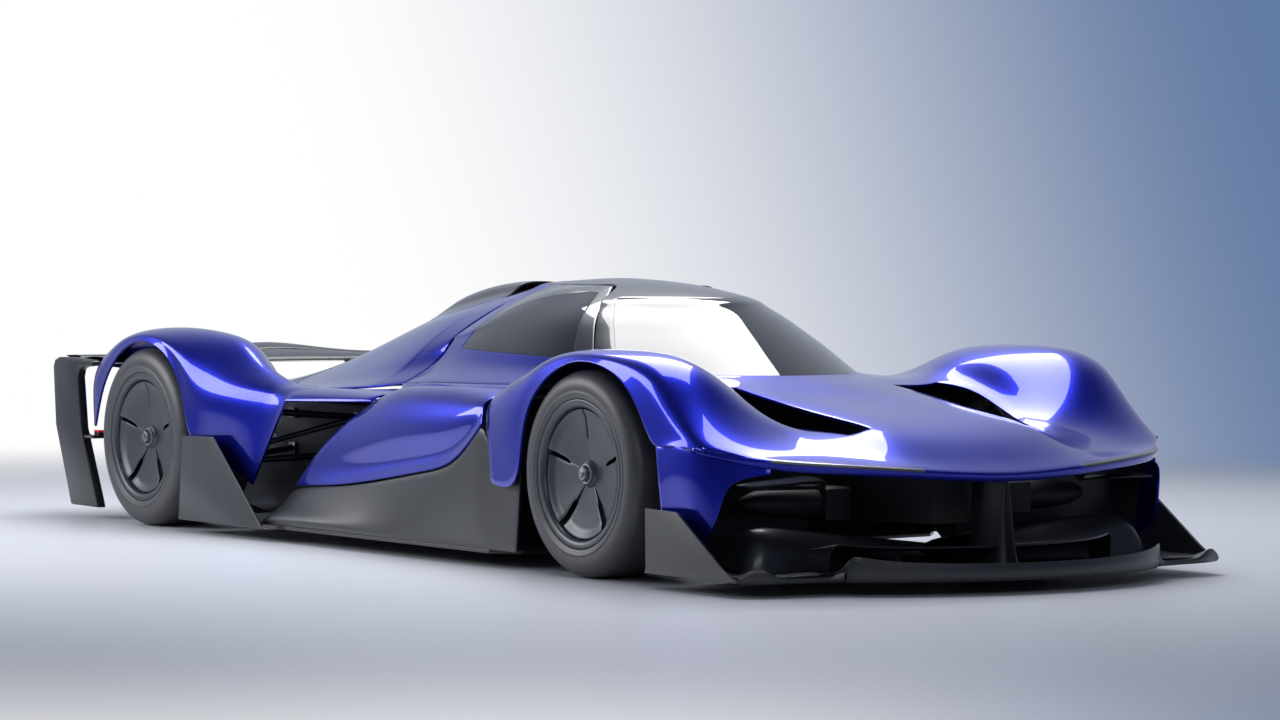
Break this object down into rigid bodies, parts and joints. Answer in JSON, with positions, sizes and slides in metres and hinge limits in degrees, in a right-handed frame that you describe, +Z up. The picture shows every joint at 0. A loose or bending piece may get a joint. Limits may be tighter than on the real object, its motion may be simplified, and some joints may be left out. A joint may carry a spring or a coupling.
{
  "type": "hypercar",
  "caption": "Low two-seat closed track car with long fenders, a bubble canopy, a two-tier front splitter, slotted wheel covers and a rear wing between endplates.",
  "frame": {"origin": "on the ground plane, midway between the nose tip and the tail of the endplates, on the car's centre plane", "axes": "+X to the car's left, +Y to its tail, +Z up; the car faces -Y"},
  "size_m": [2, 5.12, 0.986],
  "materials": {
    "body_blue": "deep metallic blue clear coat",
    "carbon": "satin dark carbon composite",
    "dark_gloss": "glossy dark composite",
    "tinted_glass": "dark tinted glazing",
    "lamp_clear": "smoked lamp strip, unlit",
    "lamp_red": "red lamp lens",
    "engine_grey": "cast, dull",
    "suspension_steel": "satin steel",
    "wheel_grey": "dark satin paint",
    "tyre": "slick rubber",
    "seat_fabric": "dark fabric",
    "cabin_black": "soft black trim"
  },
  "bodies": {
    "root": {"splitter": "carbon", "splitter_flap": "carbon", "nose_keel": "carbon", "front_clamshell": "body_blue", "cheeks": "carbon", "tub": "carbon", "floor": "carbon", "diffuser": "carbon", "windscreen": "tinted_glass", "roof": "dark_gloss", "roof_scoop": "dark_gloss", "engine_cover": "body_blue", "rear_fender_left": "body_blue", "rear_fender_right": "body_blue", "sidepod_left": "body_blue", "sidepod_right": "body_blue", "side_skirts": "carbon", "rear_wing": "carbon", "endplates": "carbon", "tail_lamps": "lamp_red", "engine": "engine_grey", "gearbox": "engine_grey", "front_arms": "suspension_steel", "rear_arms": "suspension_steel", "rear_uprights": "suspension_steel", "seats": "seat_fabric", "steering_wheel": "cabin_black", "dash": "cabin_black", "front_lamps": "lamp_clear"},
    "steer_left_body": {"knuckle_left": "suspension_steel"},
    "front_wheel_left": {"wheel_front_left": "wheel_grey", "tyre_front_left": "tyre"},
    "rear_wheel_left": {"wheel_rear_left": "wheel_grey", "tyre_rear_left": "tyre"},
    "door_left_body": {"door_left": "body_blue", "door_glass_left": "tinted_glass"},
    "steer_right_body": {"knuckle_right": "suspension_steel"},
    "front_wheel_right": {"wheel_front_right": "wheel_grey", "tyre_front_right": "tyre"},
    "rear_wheel_right": {"wheel_rear_right": "wheel_grey", "tyre_rear_right": "tyre"},
    "door_right_body": {"door_right": "body_blue", "door_glass_right": "tinted_glass"}
  },
  "joints": [
    {"name": "steer_left", "type": "hinge", "parent": "root", "child": "steer_left_body", "pos_m": [0.8, -1.3, 0.345], "axis": [0, 0, 1], "range_deg": [-16, 16]},
    {"name": "spin_front_left", "type": "hinge", "parent": "steer_left_body", "child": "front_wheel_left", "pos_m": [0.8, -1.3, 0.345], "axis": [1, 0, 0], "continuous": true},
    {"name": "spin_rear_left", "type": "hinge", "parent": "root", "child": "rear_wheel_left", "pos_m": [0.8, 1.77, 0.345], "axis": [1, 0, 0], "continuous": true},
    {"name": "door_left_hinge", "type": "hinge", "parent": "root", "child": "door_left_body", "pos_m": [0.165, -0.09, 0.955], "axis": [0, -1, 0], "range_deg": [0, 70]},
    {"name": "steer_right", "type": "hinge", "parent": "root", "child": "steer_right_body", "pos_m": [-0.8, -1.3, 0.345], "axis": [0, 0, 1], "range_deg": [-16, 16]},
    {"name": "spin_front_right", "type": "hinge", "parent": "steer_right_body", "child": "front_wheel_right", "pos_m": [-0.8, -1.3, 0.345], "axis": [1, 0, 0], "continuous": true},
    {"name": "spin_rear_right", "type": "hinge", "parent": "root", "child": "rear_wheel_right", "pos_m": [-0.8, 1.77, 0.345], "axis": [1, 0, 0], "continuous": true},
    {"name": "door_right_hinge", "type": "hinge", "parent": "root", "child": "door_right_body", "pos_m": [-0.165, -0.09, 0.955], "axis": [0, 1, 0], "range_deg": [0, 70]}
  ],
  "couplings": [
    {"joint": "steer_right", "follows": "steer_left", "ratio": 1}
  ]
}
